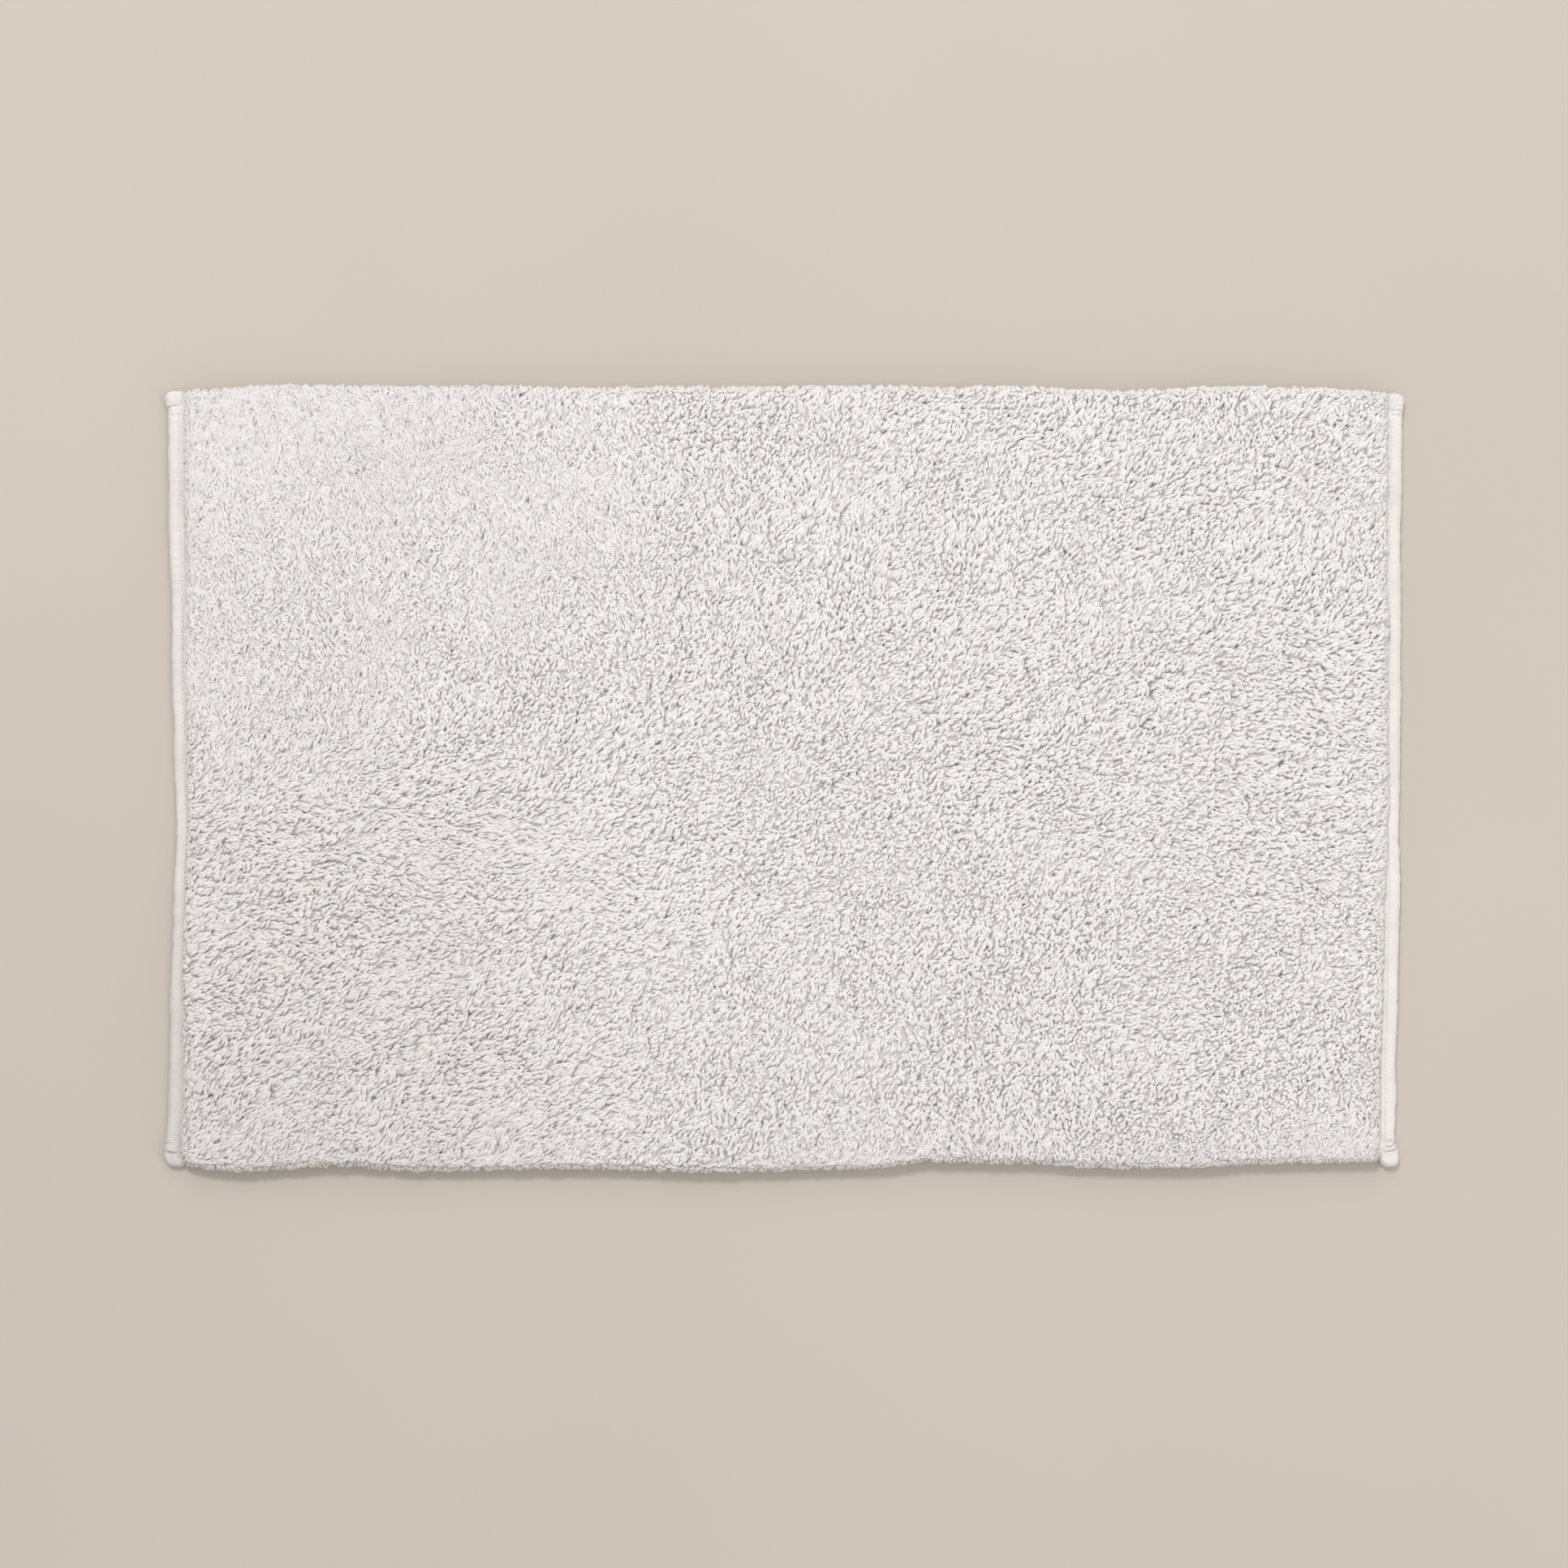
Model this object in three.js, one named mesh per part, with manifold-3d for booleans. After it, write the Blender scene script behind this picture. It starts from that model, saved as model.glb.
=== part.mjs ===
// A tufted cotton bath mat: a deep pile on a woven ground cloth, a latex coat under the cloth, and cotton
// tape folded round all four edges, sewn down, with the corners tacked. Millimetres. +X runs along the
// length, +Y across it and +Z up out of the pile. The origin is at the middle of the underside.
import * as THREE from "three";
import { mergeVertices } from "three/addons/utils/BufferGeometryUtils.js";
import Module from "manifold-3d";

const wasm = await Module();
wasm.setup();

// Driving dimensions
const LENGTH = 813; // over the end tapes
const WIDTH = 508; // over the side tapes
const HEIGHT = 18; // from the underside to the tips of the pile
const GAP = 0.3; // clearance between pieces that touch on the real mat
const TAPE = 1.4; // thickness of one leg of the folded tape
const CLOTH = 1.4; // thickness of the ground cloth
const LEG = 10; // width of the tape's legs, inwards from the edge
const CORNER_RADIUS = 8;
const WRAP = 13; // how far a side tape is folded along the end at each corner
const SEAM_INSET = 7.6; // from the edge of the mat to the row of stitches
const SEAM_END = 3; // from the end of a tape to the end of its seam
const THREAD = 0.5; // diameter of the sewing thread
const SIDE_OVERHANG = 3; // pile standing out past the side tapes
const END_OVERLAP = 2; // pile lying over the inner edge of the end tapes
const PILE_ROUND = 5; // rounding of the pile's edges
const PILE_CORNER = 16; // the pile leaves the corners of the tape bare
const TACK = { length: 6, width: 2.4, height: 0.6 };
const LABEL = { length: 45, width: 25, height: 0.6, fromEnd: 14, fromSide: 60 };

// Heights, counted up from the underside
const CLOTH_BOTTOM = TAPE + GAP;
const CLOTH_TOP = CLOTH_BOTTOM + CLOTH;
const FOLD_TOP = CLOTH_TOP + GAP + TAPE;
const OVERHANG_BOTTOM = FOLD_TOP + THREAD / 2 + GAP;

// Resolution and cutting room
const ARC_STEPS = 6;
const THREAD_SIDES = 8;
const BEYOND = 5; // how far a cutting solid passes the face that it cuts
const FOLD_ROUND = 0.42; // rounding of the fold, as a share of its height

const COTTON_ROUGHNESS = 0.95;
const RUBBER_ROUGHNESS = 0.7;
const THREAD_ROUGHNESS = 0.55;

const cotton = matte("pile", 0xe3dfdb, COTTON_ROUGHNESS);
const tape = matte("tape", 0xe9e4dd, COTTON_ROUGHNESS);
const canvas = matte("cloth", 0xd8d1c6, COTTON_ROUGHNESS);
const latex = matte("latex", 0xdedad0, RUBBER_ROUGHNESS);
const thread = matte("thread", 0xf0ece6, THREAD_ROUGHNESS);
const satin = matte("label", 0xf4f2ee, THREAD_ROUGHNESS);

const mat = new THREE.Group();

function matte(name, color, roughness) {
  return new THREE.MeshStandardMaterial({ name, color, roughness, metalness: 0 });
}

// A rectangle centred on the origin, with rounded corners.
function rectangle(length, width, radius) {
  const x = length / 2 - radius;
  const y = width / 2 - radius;
  const shape = new THREE.Shape();
  shape.absarc(x, y, radius, 0, Math.PI / 2);
  shape.absarc(-x, y, radius, Math.PI / 2, Math.PI);
  shape.absarc(-x, -y, radius, Math.PI, 1.5 * Math.PI);
  shape.absarc(x, -y, radius, 1.5 * Math.PI, 2 * Math.PI);
  shape.closePath();
  return shape;
}

// A flat slab between two heights, with its upper and lower edges rounded by `round`.
function slab(shape, bottom, top, round = 0) {
  const geometry = new THREE.ExtrudeGeometry(shape, {
    depth: top - bottom - 2 * round,
    curveSegments: ARC_STEPS,
    bevelEnabled: round > 0,
    bevelThickness: round,
    bevelSize: round,
    bevelOffset: -round,
    bevelSegments: ARC_STEPS,
  });
  return geometry.translate(0, 0, bottom + round);
}

// A box given by its lowest and highest corners.
function box(low, high) {
  const size = high.map((value, axis) => value - low[axis]);
  const middle = high.map((value, axis) => (value + low[axis]) / 2);
  return new THREE.BoxGeometry(...size).translate(...middle);
}

// A round bar lying flat, centred on a point, along X or along Y.
function bar(length, radius, [x, y, z], alongX) {
  const geometry = new THREE.CylinderGeometry(radius, radius, length, THREAD_SIDES);
  geometry.rotateY(Math.PI / THREAD_SIDES);
  if (alongX) geometry.rotateZ(Math.PI / 2);
  return geometry.translate(x, y, z);
}

// The closed surface of a geometry, as a solid for cutting and joining.
function solid(geometry) {
  const bare = geometry.clone();
  bare.deleteAttribute("normal");
  bare.deleteAttribute("uv");
  const merged = mergeVertices(bare);
  const vertProperties = merged.attributes.position.array;
  const triVerts = new Uint32Array(merged.index.array);
  return new wasm.Manifold(new wasm.Mesh({ numProp: 3, vertProperties, triVerts }));
}

// Adds a solid to the mat as a named mesh.
function add(name, made, material) {
  const { vertProperties, triVerts } = made.getMesh();
  const geometry = new THREE.BufferGeometry();
  geometry.setAttribute("position", new THREE.BufferAttribute(vertProperties, 3));
  geometry.setIndex(new THREE.BufferAttribute(triVerts, 1));
  geometry.computeVertexNormals();
  const mesh = new THREE.Mesh(geometry, material);
  mesh.name = name;
  mat.add(mesh);
}

// The tape as one ring folded round the whole edge: a round-edged frame with a pocket for the cloth.
function foldedRing() {
  const outside = rectangle(LENGTH, WIDTH, CORNER_RADIUS);
  const pocket = rectangle(LENGTH - 2 * TAPE, WIDTH - 2 * TAPE, CORNER_RADIUS - TAPE);
  const opening = rectangle(LENGTH - 2 * LEG, WIDTH - 2 * LEG, TAPE);
  return solid(slab(outside, 0, FOLD_TOP, FOLD_ROUND * FOLD_TOP))
    .subtract(solid(slab(pocket, TAPE, CLOTH_TOP + GAP)))
    .subtract(solid(slab(opening, -BEYOND, FOLD_TOP + BEYOND)));
}

// A seam is a needle thread on the top of the tape and a bobbin thread under it.
function seam(binding) {
  const centre = binding.alongX
    ? [0, binding.side * (WIDTH / 2 - SEAM_INSET)]
    : [binding.side * (LENGTH / 2 - SEAM_INSET), 0];
  return [
    { name: `${binding.name}_needle_thread`, centre: [...centre, FOLD_TOP] },
    { name: `${binding.name}_bobbin_thread`, centre: [...centre, THREAD / 2] },
  ];
}

// The four corner tacks sit across the joints between the side tapes and the end tapes.
function cornerTacks() {
  const joint = WIDTH / 2 - WRAP - GAP / 2;
  return ["left", "right"].flatMap((end, i) =>
    ["front", "back"].map((side, j) => ({
      name: `${side}_${end}_corner_tack`,
      x: (2 * i - 1) * (LENGTH / 2 - LEG / 2),
      y: (2 * j - 1) * joint,
    })),
  );
}

// A tack, or with a margin the recess that it sits in.
function tackSolid({ x, y }, margin) {
  const centre = [x, y, FOLD_TOP];
  const half = [TACK.length / 2, TACK.width / 2, TACK.height / 2];
  const low = centre.map((value, axis) => value - half[axis] - margin);
  const high = centre.map((value, axis) => value + half[axis] + margin);
  return solid(box(low, high));
}

function addBindingsAndStitches() {
  const ring = foldedRing();
  const tacks = cornerTacks();
  const joint = WIDTH / 2 - WRAP;
  const farX = LENGTH / 2 + BEYOND;
  const farY = WIDTH / 2 + BEYOND;
  const ends = joint - GAP;
  const bindings = [
    { name: "left_end", alongX: false, side: -1, zone: [[-farX, -ends], [0, ends]] },
    { name: "right_end", alongX: false, side: 1, zone: [[0, -ends], [farX, ends]] },
    { name: "front_side", alongX: true, side: -1, zone: [[-farX, -farY], [farX, -joint]] },
    { name: "back_side", alongX: true, side: 1, zone: [[-farX, joint], [farX, farY]] },
  ];
  for (const binding of bindings) {
    const [low, high] = binding.zone;
    const seamLength = (binding.alongX ? LENGTH : 2 * ends) - 2 * SEAM_END;
    let made = ring.intersect(solid(box([...low, -BEYOND], [...high, FOLD_TOP + BEYOND])));
    for (const { name, centre } of seam(binding)) {
      const groove = bar(seamLength + 2 * GAP, THREAD / 2 + GAP, centre, binding.alongX);
      made = made.subtract(solid(groove));
      add(name, solid(bar(seamLength, THREAD / 2, centre, binding.alongX)), thread);
    }
    for (const tack of tacks) made = made.subtract(tackSolid(tack, GAP));
    add(`${binding.name}_binding`, made, tape);
  }
  for (const tack of tacks) add(tack.name, tackSolid(tack, 0), thread);
}

// The cloth's edges sit inside the folded tape.
function addGroundCloth() {
  const inset = 2 * (TAPE + GAP);
  const outline = rectangle(LENGTH - inset, WIDTH - inset, CORNER_RADIUS - TAPE - GAP);
  add("ground_cloth", solid(slab(outline, CLOTH_BOTTOM, CLOTH_TOP)), canvas);
}

// The pile stands on the cloth inside the tape, and above that spreads out over the tape.
function addPile() {
  const inside = 2 * (LEG + GAP);
  const foot = rectangle(LENGTH - inside, WIDTH - inside, TAPE);
  const spreadLength = LENGTH - 2 * (LEG - END_OVERLAP);
  const spread = rectangle(spreadLength, WIDTH + 2 * SIDE_OVERHANG, PILE_CORNER);
  const made = solid(slab(foot, CLOTH_TOP + GAP, HEIGHT - PILE_ROUND)).add(
    solid(slab(spread, OVERHANG_BOTTOM, HEIGHT, PILE_ROUND)),
  );
  add("pile", made, cotton);
}

// The latex coat covers the underside inside the tape, and the care label lies in a shallow pocket in it.
function addLatexAndLabel() {
  const inside = 2 * (LEG + GAP);
  const x = LABEL.fromEnd - LENGTH / 2;
  const y = LABEL.fromSide - WIDTH / 2;
  const low = [x, y, 0];
  const high = [x + LABEL.length, y + LABEL.width, LABEL.height];
  const pocketLow = [x - GAP, y - GAP, -BEYOND];
  const pocket = box(pocketLow, high.map((value) => value + GAP));
  const coat = solid(slab(rectangle(LENGTH - inside, WIDTH - inside, TAPE), 0, TAPE));
  add("latex_backing", coat.subtract(solid(pocket)), latex);
  add("care_label", solid(box(low, high)), satin);
}

addPile();
addGroundCloth();
addLatexAndLabel();
addBindingsAndStitches();

export default mat;
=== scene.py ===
"""A deep-pile cotton bath mat lying on the floor, seen from straight above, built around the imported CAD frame.

Every soft piece is first made on a flat, straight mat in the CAD's own places, and lay() then moves its points
to where soft cloth lies: the edges wander a few millimetres and the rim lifts a little off the floor.
"""

import math
from collections import namedtuple

import bpy
import numpy as np
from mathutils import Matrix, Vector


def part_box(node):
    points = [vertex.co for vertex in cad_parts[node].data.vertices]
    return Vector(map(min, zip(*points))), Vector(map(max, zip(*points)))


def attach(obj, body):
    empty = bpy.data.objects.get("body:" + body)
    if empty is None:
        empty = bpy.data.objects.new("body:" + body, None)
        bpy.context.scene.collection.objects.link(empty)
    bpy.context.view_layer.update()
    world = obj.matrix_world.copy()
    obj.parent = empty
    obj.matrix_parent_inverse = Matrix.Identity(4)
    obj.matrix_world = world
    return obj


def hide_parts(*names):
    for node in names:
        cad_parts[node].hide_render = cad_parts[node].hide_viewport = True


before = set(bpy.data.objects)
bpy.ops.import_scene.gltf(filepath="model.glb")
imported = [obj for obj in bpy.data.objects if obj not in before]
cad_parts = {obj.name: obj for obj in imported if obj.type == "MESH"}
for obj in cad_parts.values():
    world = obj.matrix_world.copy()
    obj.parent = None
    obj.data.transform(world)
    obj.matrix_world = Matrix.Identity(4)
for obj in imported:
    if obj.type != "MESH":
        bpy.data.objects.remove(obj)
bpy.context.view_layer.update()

MM = 0.001
TINY = 1e-9  # stands in for a length of nought in a division

# The flat mat's sizes, from the frame, in metres
SIDE_LOW, SIDE_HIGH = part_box("back_side_binding")
END_LOW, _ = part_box("right_end_binding")
CLOTH_LOW, CLOTH_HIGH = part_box("ground_cloth")
LATEX_LOW, LATEX_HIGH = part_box("latex_backing")
_, PILE_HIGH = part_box("pile")
LABEL_LOW, LABEL_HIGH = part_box("care_label")
HALF_LENGTH = SIDE_HIGH.x
HALF_WIDTH = SIDE_HIGH.y
FOLD_TOP = SIDE_HIGH.z
LEG = HALF_LENGTH - END_LOW.x  # how far in from the edge the folded tape goes
WRAP = HALF_WIDTH - SIDE_LOW.y  # how much of each end a side tape's folded ends cover
TAPE = LATEX_HIGH.z  # thickness

# How far each edge lies out from its straight line, in mm, at places along it in mm from the middle
BACK_EDGE = [(-406, -2), (-385, -1), (-335, 2.5), (-180, 1), (-40, 1), (70, 1.5), (110, 0.5), (150, 1.5),
             (215, -1.5), (300, 1), (345, 0), (406, -2)]
FRONT_EDGE = [(-406, -2), (-360, 2.5), (-295, -1), (-240, 2), (-130, 1), (-40, 3), (60, 1), (95, -3.5),
              (160, -2.5), (200, 0), (265, 0), (315, -2.5), (406, -3.5)]
LEFT_EDGE = [(-254, -1), (-242, 0), (-215, -1.8), (-150, -3), (-70, -5.2), (-33, -6.8), (5, -5.4), (100, -3.6),
             (190, -1.7), (254, -1.6)]
RIGHT_EDGE = [(-254, -4.3), (-200, -3.8), (-129, -2.2), (-65, -1.2), (-33, -1.8), (0, -1.2), (95, -0.4),
              (150, -0.8), (200, 0.3), (254, 0.6)]
# How far the pile stops short of its straight line along each end, in mm, at places along the end
LEFT_PILE = [(-254, 0), (-210, -0.5), (-130, -2), (-22, -1.3), (85, -1.2), (150, 1), (200, 1.4), (254, 0.8)]
RIGHT_PILE = [(-254, 1.6), (-160, 1.5), (-100, 0.5), (-22, -2.1), (85, -0.8), (190, -0.2), (254, -0.2)]
EDGE_REACH = 3  # power of the distance from the middle: how quickly the wandering dies away inwards
RIM_LIFT = 1.6 * MM
RIM_LIFT_SIZE = 110 * MM
PATCH_CELLS = 64  # cells a side in the random grid of patches()

# Pile: every tuft is a few strands of soft yarn, splayed at the tip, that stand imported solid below
SPACING = 2.05 * MM
ROOT_JITTER = 0.45  # how far a root strays from its grid, as a share of the spacing
BORDER_EXTRA = 0.55  # the share of a second grid of roots that is kept where the border bends
STRAND_RADIUS = 1.25 * MM
STRAND_SIDES = 4
STRAND_FLATNESS = 0.68
STRAND_RINGS = np.array([0.0, 0.42, 0.74, 1.0])  # how far along the strand each ring of its points is
YARN_TURNS = 70  # turns a metre
ROOT_DEPTH = 2.0 * MM  # how far the strands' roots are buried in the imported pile
RISE_POWER = 2.4  # a strand rises early,
LEAN_POWER = 1.4  # leans over later
TIP_DIP = 0.5 * MM  # and droops at its tip
CRINKLE = 0.3 * MM  # how far it strays to the side on the way
LOOSE_DROP = 1.5 * MM  # how much lower the loose strands end
PILE_STRIPS = 24
PACKED_DEPTH = 3.4 * MM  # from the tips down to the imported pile, where the pile is combed
FELTED_DEPTH = 2.15 * MM  # the same, where the pile is felted
PACKED_ROUGHNESS = 0.3 * MM
TUFT = 5.2 * MM
TUFT_PULL = 0.22  # how far the strands of a tuft draw together, as a share of the way to its middle
TUFT_DOME = 0.7 * MM  # how much lower the strands at the edge of a tuft end
PIT_SPACING = 5.5 * MM  # small deep gaps in the pile, which show most where it is felted
PIT_WIDTH = 1.2 * MM
PIT_LENGTH = 1.6  # times the width
PIT_DEPTH = 4.0 * MM
CELLS = 400  # cells a side in the random grids of tufts and pits
NEIGHBOURS = [(i, j) for i in (-1, 0, 1) for j in (-1, 0, 1)]  # the cells round a cell, and itself
PILE_CORNER = 10 * MM
CORNER_SQUARE = 3.2  # power that makes the pile's corners squarer than round ones, with 2
# The pile's border along the sides and the ends: its bend's radius in mm and angle in degrees, and how far it
# then runs on in mm
SIDE_BORDER = (5.5, 66, 3.5)
END_BORDER = (8.0, 71, 6.0)
LONGEST_RUN = 9 * MM  # no strand goes farther than this past the bend
# Strands fall outwards over a band at the border, though fewer at the ends and, inside the edge, in front
FALL_BAND = 8 * MM
FALL_WANDER = 2.5 * MM  # how far the band wanders in and out
MOST_FALL = 0.95
FEWER_AT_ENDS = 0.6
FEWER_IN_FRONT = 0.55
OVER_EDGE = (-4 * MM, 5 * MM)  # where a strand starts to count as over the edge, and how far it takes to be so

# Brush strokes over the pile: x and y in mm, which way the strands lie over in degrees, how far they reach in
# mm, the spread of their directions in degrees, and how felted they are, from 0, combed, to 1, an even face
STROKES = [(-330, 200, 95, 4.2, 36, 0.95), (-200, 200, 90, 4.2, 36, 0.85), (-60, 190, 76, 4.0, 30, 0.25),
           (60, 150, 68, 4.3, 20, 0.0), (200, 190, 55, 4.2, 22, 0.0), (350, 200, 62, 4.2, 24, 0.05),
           (-330, 80, 105, 4.0, 40, 0.8), (-170, 90, 85, 4.0, 38, 0.35), (-320, -40, 16, 4.8, 24, 0.0),
           (-180, -60, 22, 5.2, 20, 0.0), (-300, -130, 18, 5.4, 20, 0.0), (-170, -190, 34, 5.0, 20, 0.0),
           (-350, -230, 42, 4.8, 18, 0.0), (-40, -60, 40, 3.8, 32, 0.0), (60, -40, 55, 3.6, 32, 0.0),
           (-30, -200, 62, 4.2, 30, 0.0), (130, -170, 80, 3.8, 30, 0.05), (180, 40, 40, 4.0, 28, 0.0),
           (330, 20, 10, 4.4, 28, 0.0), (300, -120, 22, 3.6, 32, 0.05), (370, -200, 75, 3.4, 36, 0.15)]
HEADING, REACH, TANGLE, FELT = 2, 3, 4, 5
STROKE_SIZE = 75  # mm over which a stroke dies away
LEAST_WEIGHT = 1e-6  # keeps every place under some stroke
FRONT_BAND = 45 * MM  # the front edge is felted too, over this width,
FRONT_FADE = 40 * MM  # of which this much is its fading in
FRONT_FELT, FRONT_MORE = 0.3, 0.3  # how felted it is at the left, and how much more at the right
FRONT_CHANGE = 160 * MM  # how long the change between left and right is
SHADE_FROM = (-70 * MM, 110 * MM)  # painted shade: the yarn's colour is greyed at the front left, from here along x and along y, and more and more so over this distance
SHADE_FADE = (170 * MM, 140 * MM)  # and more and more so over this distance
SHADE_SLANT = 0.35  # painted shade: all of the mat's colour is darker towards the front left: x counts this share as much as y
SHADE_RANGE = (-0.4, -0.1)  # metres, where it is darkest and where that ends

# Tape and stitching
TAPE_PLUMP = 2.2 * MM
PLUMP_MIDDLE = 6.4 * MM  # how far in from the edge the tape is plumpest
PLUMP_REACH = 6.2 * MM  # and how far to each side that goes
UPPER_LEG = 2 * MM  # how much further in the tape's upper leg goes than its lower one, under the pile
STITCH = 3.0 * MM
THREAD_RADIUS = 0.25 * MM
THREAD_SIDES = 6
THREAD_TURNS = 500  # turns a metre
THREAD_LOBE = 0.12  # how far its two plies stand out, as a share
SEAM_INSET = 7.6 * MM
SEAM_END = 3.0 * MM
SEAM_PINCH = 1.3 * MM  # how far to each side the seam draws the tape in,
SEAM_DEPTH = 0.3 * MM  # how deep,
PUCKER_DEPTH = 0.45 * MM  # and how much deeper between the stitches
NEEDLE_SUNK = 0.85 * MM  # how far a stitch's ends are down in the plump tape,
NEEDLE_ARCH = 0.7 * MM  # and how far it arches up out of it
BOBBIN_ARCH = 0.5 * MM
TACK_STITCHES = 6
TACK_LENGTH = 4.8 * MM
TACK_WIDTH = 2.0 * MM
TACK_DIP = 1.5 * MM

# The folded ends of the side tapes: sizes in mm, turn in degrees, bulges as (direction, amount, width) in
# degrees, mm and degrees, and creases as (place, bow, depth, width) in mm
Fold = namedtuple("Fold", "centre half_size height squareness turn bulges creases")
CORNERS = {
    "back_left": Fold(
        centre=(-401.6, 250.0), half_size=(6.8, 6.5), height=7.4, squareness=3.4, turn=0,
        bulges=[(166, 0.7, 10)], creases=[(-4.4, 0.4, 2.2, 0.5)],
    ),
    "back_right": Fold(
        centre=(400.7, 248.3), half_size=(6.8, 7.0), height=7.6, squareness=2.5, turn=-8,
        bulges=[(-40, 1.6, 9)], creases=[(-5.8, 0.6, 2.2, 0.55), (-2.2, 2.2, 0.7, 0.6)],
    ),
    "front_left": Fold(
        centre=(-401.0, -248.8), half_size=(7.2, 8.8), height=7.6, squareness=2.9, turn=0,
        bulges=[(200, 0.6, 25)], creases=[(8.0, -2.6, 2.2, 0.5), (0.8, 0.6, 2.0, 0.5)],
    ),
    "front_right": Fold(
        centre=(401.7, -251.0), half_size=(6.8, 8.4), height=8.2, squareness=2.7, turn=4,
        bulges=[(-50, 0.8, 20)], creases=[(6.0, 0.8, 2.6, 0.5), (2.8, 1.4, 2.2, 0.5)],
    ),
}
FOLD_RINGS, FOLD_AROUND = 22, 72
FOLD_RIM = 2.2  # mm from the floor up to the fold's rim


def smooth(share):
    """A share held between 0 and 1, with a level start and end."""
    share = np.clip(share, 0, 1)
    return share * share * (3 - 2 * share)


def unit(vectors):
    """The same directions with length 1."""
    return vectors / np.maximum(np.linalg.norm(vectors, axis=-1, keepdims=True), TINY)


def patches(x, y, size, seed):
    """Smooth random hills and hollows from -1 to 1, about `size` across."""
    grid = np.random.default_rng(seed).uniform(-1, 1, (PATCH_CELLS, PATCH_CELLS))
    u, v = x / size, y / size
    column, row = np.floor(u).astype(int), np.floor(v).astype(int)
    right, up = smooth(u - column), smooth(v - row)

    def at(i, j):
        return grid[(column + i) % PATCH_CELLS, (row + j) % PATCH_CELLS]

    lower = at(0, 0) * (1 - right) + at(1, 0) * right
    upper = at(0, 1) * (1 - right) + at(1, 1) * right
    return lower * (1 - up) + upper * up


def wander(along, knots):
    """The smooth line through an edge's knots, in metres."""
    places, shifts = (np.array(values) * MM for values in zip(*knots))
    after = np.clip(np.searchsorted(places, along), 1, len(places) - 1)
    start, end = places[after - 1], places[after]
    share = smooth((along - start) / (end - start))
    return shifts[after - 1] * (1 - share) + shifts[after] * share


def lay(points):
    """Points of the flat mat, moved to where the soft mat lies."""
    x, y, z = np.moveaxis(points, -1, 0)
    end_share = np.minimum(np.abs(x) / HALF_LENGTH, 1) ** EDGE_REACH
    side_share = np.minimum(np.abs(y) / HALF_WIDTH, 1) ** EDGE_REACH
    out_x = np.where(x < 0, -wander(y, LEFT_EDGE), wander(y, RIGHT_EDGE))
    out_y = np.where(y < 0, -wander(x, FRONT_EDGE), wander(x, BACK_EDGE))
    hills = 0.5 + 0.5 * patches(x, y, RIM_LIFT_SIZE, seed=3)
    lift = RIM_LIFT * hills * smooth(np.maximum(end_share, side_share))
    return np.stack([x + out_x * end_share, y + out_y * side_share, z + lift], axis=-1)


# Meshes ---


def new_object(name, data):
    """An object in the scene that shows the data."""
    made = bpy.data.objects.new(name, data)
    bpy.context.scene.collection.objects.link(made)
    return made


def mesh_object(name, points, faces, material, nodes, attributes=(), unrolled=None):
    """A smooth piece of the mat that stands for CAD nodes, from points on the flat mat. faces is a list of
    index arrays, attributes one of (name, values), and unrolled is (u, v) for each corner of each face."""
    points = lay(points)
    mesh = bpy.data.meshes.new(name)
    corners = np.concatenate([rows.ravel() for rows in faces])
    sizes = np.concatenate([np.full(len(rows), rows.shape[1]) for rows in faces])
    mesh.vertices.add(len(points))
    mesh.vertices.foreach_set("co", points.astype(np.float32).ravel())
    mesh.loops.add(len(corners))
    mesh.loops.foreach_set("vertex_index", corners.astype(np.int32))
    mesh.polygons.add(len(sizes))
    mesh.polygons.foreach_set("loop_start", (np.cumsum(sizes) - sizes).astype(np.int32))
    for attribute_name, values in attributes:
        vector = values.ndim == 2
        attribute = mesh.attributes.new(attribute_name, "FLOAT_VECTOR" if vector else "FLOAT", "POINT")
        attribute.data.foreach_set("vector" if vector else "value", values.astype(np.float32).ravel())
    if unrolled is not None:
        layer = mesh.uv_layers.new(name="OFBake")
        layer.uv.foreach_set("vector", unrolled.astype(np.float32).ravel())
    mesh.update(calc_edges=True)
    mesh.validate()
    mesh.shade_smooth()
    mesh.materials.append(material)
    piece = new_object(name, mesh)
    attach(piece, "root")
    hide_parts(*nodes)
    return piece


def ring_quads(rings, around):
    """The faces between rings of points, which are counted round each ring in turn."""
    ring, place = np.meshgrid(np.arange(rings - 1), np.arange(around), indexing="ij")
    here, beyond = ring * around + place, ring * around + (place + 1) % around
    return np.stack([here, beyond, beyond + around, here + around], axis=-1).reshape(-1, 4)


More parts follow.
